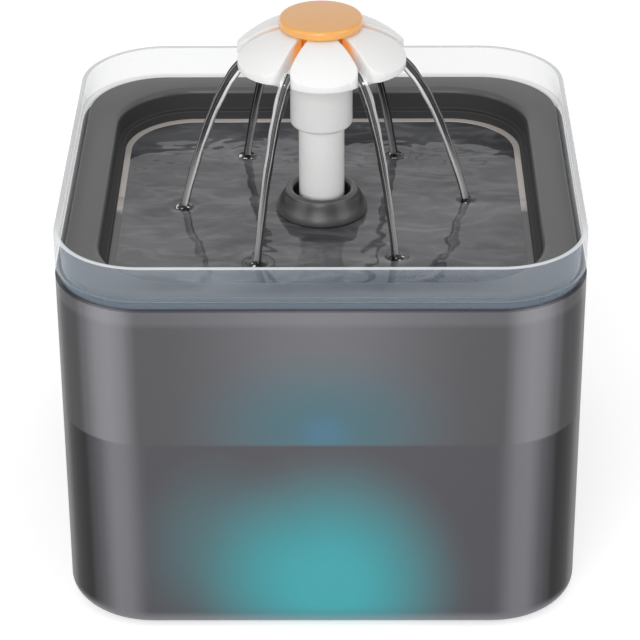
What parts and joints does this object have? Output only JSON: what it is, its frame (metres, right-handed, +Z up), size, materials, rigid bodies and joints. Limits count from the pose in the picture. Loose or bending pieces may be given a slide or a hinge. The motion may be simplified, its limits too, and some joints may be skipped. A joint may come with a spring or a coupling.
{
  "type": "pet water fountain",
  "caption": "Square pet water fountain with a lit tank, clear splash collar, drinking tray and a flower spout on a stem.",
  "frame": {"origin": "centre of the square base, on the plane the rubber feet stand on", "axes": "+Z up along the stem; -Y is the front, the side nearest the viewer; +X to the viewer's right"},
  "size_m": [0.175, 0.175, 0.1891],
  "materials": {
    "smoke_plastic": "smoke-grey translucent, moulded smooth",
    "clear_plastic": "clear, polished",
    "tray_plastic": "dark grey, satin",
    "white_plastic": "white, moulded",
    "orange_plastic": "warm orange, glossy",
    "dark_plastic": "black, moulded",
    "black_rubber": "soft black",
    "white_rubber": "soft white",
    "lamination_steel": "stacked sheets",
    "copper_wire": "enamelled winding",
    "potting_resin": "black cast resin",
    "board_laminate": "green laminate",
    "lamp_chip": "blue-green light",
    "shaft_ceramic": "polished",
    "magnet_ferrite": "dark grey ferrite",
    "sponge_foam": "open foam",
    "cotton_felt": "white felt",
    "carbon_grain": "black grains",
    "resin_bead": "amber beads"
  },
  "bodies": {
    "base": {"tank": "smoke_plastic", "rubber_feet": "black_rubber", "cable_grommet": "black_rubber", "suction_cups": "black_rubber", "pump_housing": "dark_plastic", "stator_core": "lamination_steel", "coil_bobbin": "white_plastic", "stator_coil": "copper_wire", "stator_potting": "potting_resin", "led_board": "board_laminate", "led_chips": "lamp_chip", "led_lens": "clear_plastic", "cable_gland": "black_rubber", "volute_cover": "dark_plastic", "volute_seal": "black_rubber", "rotor_shaft": "shaft_ceramic", "shaft_bush_rear": "black_rubber", "shaft_bush_front": "black_rubber", "riser_pipe": "dark_plastic"},
    "rotor": {"impeller": "dark_plastic", "rotor_magnet": "magnet_ferrite"},
    "intake": {"intake_cover": "dark_plastic", "intake_sponge": "sponge_foam"},
    "slider": {"flow_slider": "dark_plastic"},
    "collar": {"splash_collar": "clear_plastic"},
    "tray": {"drinking_tray": "tray_plastic", "stem_seal": "white_rubber"},
    "filter": {"filter_frame": "white_plastic", "filter_cotton": "cotton_felt", "carbon_bed": "carbon_grain", "resin_bed": "resin_bead", "filter_grid": "white_plastic"},
    "flower": {"stem_tube": "white_plastic", "flower_crown": "white_plastic"},
    "cap": {"flower_cap": "orange_plastic"}
  },
  "joints": [
    {"name": "impeller_spin", "type": "hinge", "parent": "base", "child": "rotor", "pos_m": [0, 0, 0.0316], "axis": [0, 1, 0], "continuous": true},
    {"name": "intake_slide", "type": "slide", "parent": "base", "child": "intake", "axis": [0, 1, 0], "range_m": [0, 0.025]},
    {"name": "flow_slide", "type": "slide", "parent": "intake", "child": "slider", "axis": [1, 0, 0], "range_m": [-0.0055, 0.002]},
    {"name": "collar_lift", "type": "slide", "parent": "base", "child": "collar", "axis": [0, 0, 1], "range_m": [0, 0.08]},
    {"name": "tray_lift", "type": "slide", "parent": "collar", "child": "tray", "axis": [0, 0, 1], "range_m": [0, 0.06]},
    {"name": "filter_drop", "type": "slide", "parent": "tray", "child": "filter", "axis": [0, 0, -1], "range_m": [0, 0.03]},
    {"name": "flower_lift", "type": "slide", "parent": "tray", "child": "flower", "axis": [0, 0, 1], "range_m": [0, 0.045]},
    {"name": "cap_lift", "type": "slide", "parent": "flower", "child": "cap", "axis": [0, 0, 1], "range_m": [0, 0.02]}
  ]
}
